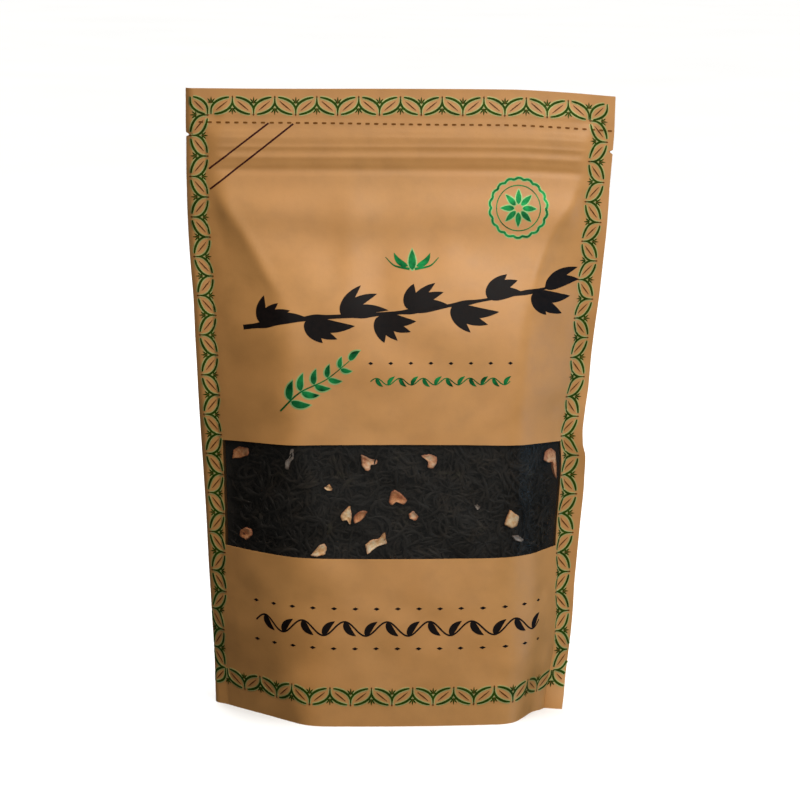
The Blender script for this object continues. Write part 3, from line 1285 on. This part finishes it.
def chip_outline(corners, random, spacing=0.55):
    """Torn outline through the corners: even steps along it, rounded a little and jittered."""
    loop = np.array([*corners, corners[0]], float)
    travelled = np.concatenate([[0], np.cumsum(np.linalg.norm(np.diff(loop, axis=0), axis=1))])
    count = max(16, int(travelled[-1] / spacing))
    even = np.linspace(0, travelled[-1], count, endpoint=False)
    points = np.stack([np.interp(even, travelled, loop[:, k]) for k in (0, 1)], -1)
    points = (np.roll(points, 1, 0) + 2 * points + np.roll(points, -1, 0)) / 4
    return points + random.uniform(-CHIP_JITTER, CHIP_JITTER, points.shape)


def make_chips():
    """Dried citron pieces: torn slabs, curled across, with a raised rim and a dished middle."""
    for number, (look, curl, tilt, middle, corners) in enumerate(CITRON_PIECES, 1):
        random = np.random.default_rng(100 + number)
        outline = chip_outline(corners, random)
        heart = outline.mean(0)
        half = np.ptp(outline, axis=0).max() / 2
        way = random.uniform(0, math.pi)

        def chip_points(flat, rise, bumpy):
            a = flat[:, 0] * math.cos(way) + flat[:, 1] * math.sin(way)
            bumps = CHIP_BUMPS * np.sin(flat[:, 0] * 2.1 + number) * np.cos(flat[:, 1] * 2.7 + number)
            bent = curl * (2 * (a / half) ** 2 - 0.6)
            offset = -CITRON_DEPTH + rise + bumps * bumpy + bent + tilt * a
            offset = np.minimum(offset, -CHIP_GAP + 0.5 * min(rise, 0))
            s, v = middle[0] + flat[:, 0], middle[1] + flat[:, 1]
            return pouch_point(FRONT, s, v, offset + front_relief(s, v))

        points = [chip_points(heart + r * (outline - heart), rise, r < 0.95) for r, rise in CHIP_PROFILE]
        ends = [chip_points(heart[None, :], rise, True) for rise in CHIP_ENDS]
        spokes, loops = len(outline), len(points)
        faces = []
        for k in range(spokes):
            following = (k + 1) % spokes
            faces.append((loops * spokes, k, following))
            faces.append((loops * spokes + 1, (loops - 1) * spokes + following, (loops - 1) * spokes + k))
            for i in range(loops - 1):
                low, high = i * spokes, (i + 1) * spokes
                faces.append((low + k, high + k, high + following, low + following))
        name = f"citron_chip_{number:02d}"
        chip = make_piece(name, np.concatenate([*points, *ends]), faces, peel_looks[look], 60)
        rim = chip.data.attributes.new("rim", "FLOAT", "POINT")
        shares = [r**3 if rise > 0 else 1.0 for r, rise in CHIP_PROFILE]
        rim.data.foreach_set("value", np.array([*np.repeat(shares, spokes), 0, 1], np.float32))
        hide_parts(f"citron_piece_{number:02d}")


# ---- Studio ----

CAMERA_PLACE = (-0.1127, -1.2814, 0.3921)
CAMERA_TURN = (0.186, 0.0893, 0.0202)  # down, to the right, and rolled, in radians
FOCAL_PIXELS = 2750  # for a picture 800 pixels wide
SENSOR = 36.0
# Name, place, what it points at, size, watts and colour
AREA_LIGHTS = [
    ("key", (0.29, -0.55, 0.58), (0.03, -0.02, 0.19), (0.25, 0.25), 3.1, (1.0, 0.97, 0.92)),
    ("fill", (0.35, -2.2, 0.3), (0.02, 0.0, 0.12), (1.6, 1.3), 7.5, (0.98, 1.0, 0.99)),
    ("back", (-0.3, 1.2, 1.2), (0.0, 0.0, 0.15), (1.0, 0.8), 9, (1.0, 1.0, 1.0)),
    ("side", (0.9, -0.2, 0.06), (0.08, 0.0, 0.06), (0.5, 0.5), 1.5, (0.3, 0.65, 1.0)),
]
SUN_STRENGTH, SUN_ANGLE = 3.0, 40
WORLD_LOW, WORLD_HIGH = (0.05, 0.048, 0.045), (0.26, 0.255, 0.25)
WORLD_HIGH_FROM = 0.6  # of the way up
FLOOR_HALF = 14.0  # metres


def put(thing, place, right, up, forward):
    """Stand a camera or light at its place, looking forward."""
    turn = Matrix(np.stack([right, up, -forward], -1).tolist()).to_4x4()
    thing.matrix_world = Matrix.Translation(place) @ turn


def make_camera():
    data = bpy.data.cameras.new("camera")
    data.sensor_width = SENSOR
    data.lens = FOCAL_PIXELS / 800 * SENSOR
    data.clip_end = 50
    camera = add_object("camera", data)
    pitch, yaw, roll = CAMERA_TURN
    forward = np.array([math.sin(yaw) * math.cos(pitch), math.cos(yaw) * math.cos(pitch), -math.sin(pitch)])
    level = np.array([math.cos(yaw), -math.sin(yaw), 0])
    upward = np.cross(level, forward)
    right = math.cos(roll) * level + math.sin(roll) * upward
    up = -math.sin(roll) * level + math.cos(roll) * upward
    put(camera, CAMERA_PLACE, right, up, forward)
    bpy.context.scene.camera = camera


def area_light(name, place, target, size, power, colour):
    data = bpy.data.lights.new(name, "AREA")
    data.shape = "RECTANGLE"
    data.size, data.size_y = size
    data.energy = power
    data.color = colour
    forward = np.array(target) - np.array(place)
    forward = forward / np.linalg.norm(forward)
    right = np.cross(forward, (0, 0, 1))
    right /= np.linalg.norm(right)
    put(add_object(name, data), place, right, np.cross(right, forward), forward)


def make_world():
    """Soft light from above, little from below."""
    n = Nodes(bpy.data.worlds.new("studio"), "Background")
    direction = n.add("ShaderNodeTexCoord").outputs["Generated"]
    upward = n.add("ShaderNodeSeparateXYZ", {0: direction}).outputs["Z"]
    sky = n.ramp(upward, [(0.0, WORLD_LOW), (WORLD_HIGH_FROM, WORLD_HIGH)])
    bpy.context.scene.world = n.finish(Strength=1.0, Color=sky)


def make_floor():
    h = FLOOR_HALF
    mesh = bpy.data.meshes.new("floor")
    mesh.from_pydata([(-h, -h, 0), (h, -h, 0), (h, h, 0), (-h, h, 0)], [], [(0, 1, 2, 3)])
    n = Nodes(bpy.data.materials.new("pale_floor"))
    tone = n.shade(n.noise(n.place(), 3.0, 3, 0.5), (0.88, 0.88, 0.87), (0.9, 0.9, 0.89))
    mesh.materials.append(n.finish(Base_Color=tone, Roughness=0.7, Specular_IOR_Level=0.1))
    floor = add_object("floor", mesh)
    floor.visible_diffuse = False
    floor.visible_glossy = False


def make_studio():
    make_world()
    for light in AREA_LIGHTS:
        area_light(*light)
    sun = bpy.data.lights.new("overhead", "SUN")
    sun.energy = SUN_STRENGTH
    sun.angle = math.radians(SUN_ANGLE)
    add_object("overhead", sun)
    make_floor()
    bpy.context.scene.view_settings.view_transform = "Standard"


# ---- Assembly ----

make_camera()
make_panels()
make_window_film()
make_gusset()
for face, label in PANELS:
    Border(face).make(label, f"kraft_{label}")
for face, label in PANELS:
    make_tear_line(face, label, f"kraft_{label}")
make_front_print()
make_tea()
make_chips()
for strip in ("zipper_rib_strip", "zipper_groove_strip"):
    strip_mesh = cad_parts[strip].data
    strip_mesh.materials.clear()
    strip_mesh.materials.append(zip_look)
make_studio()
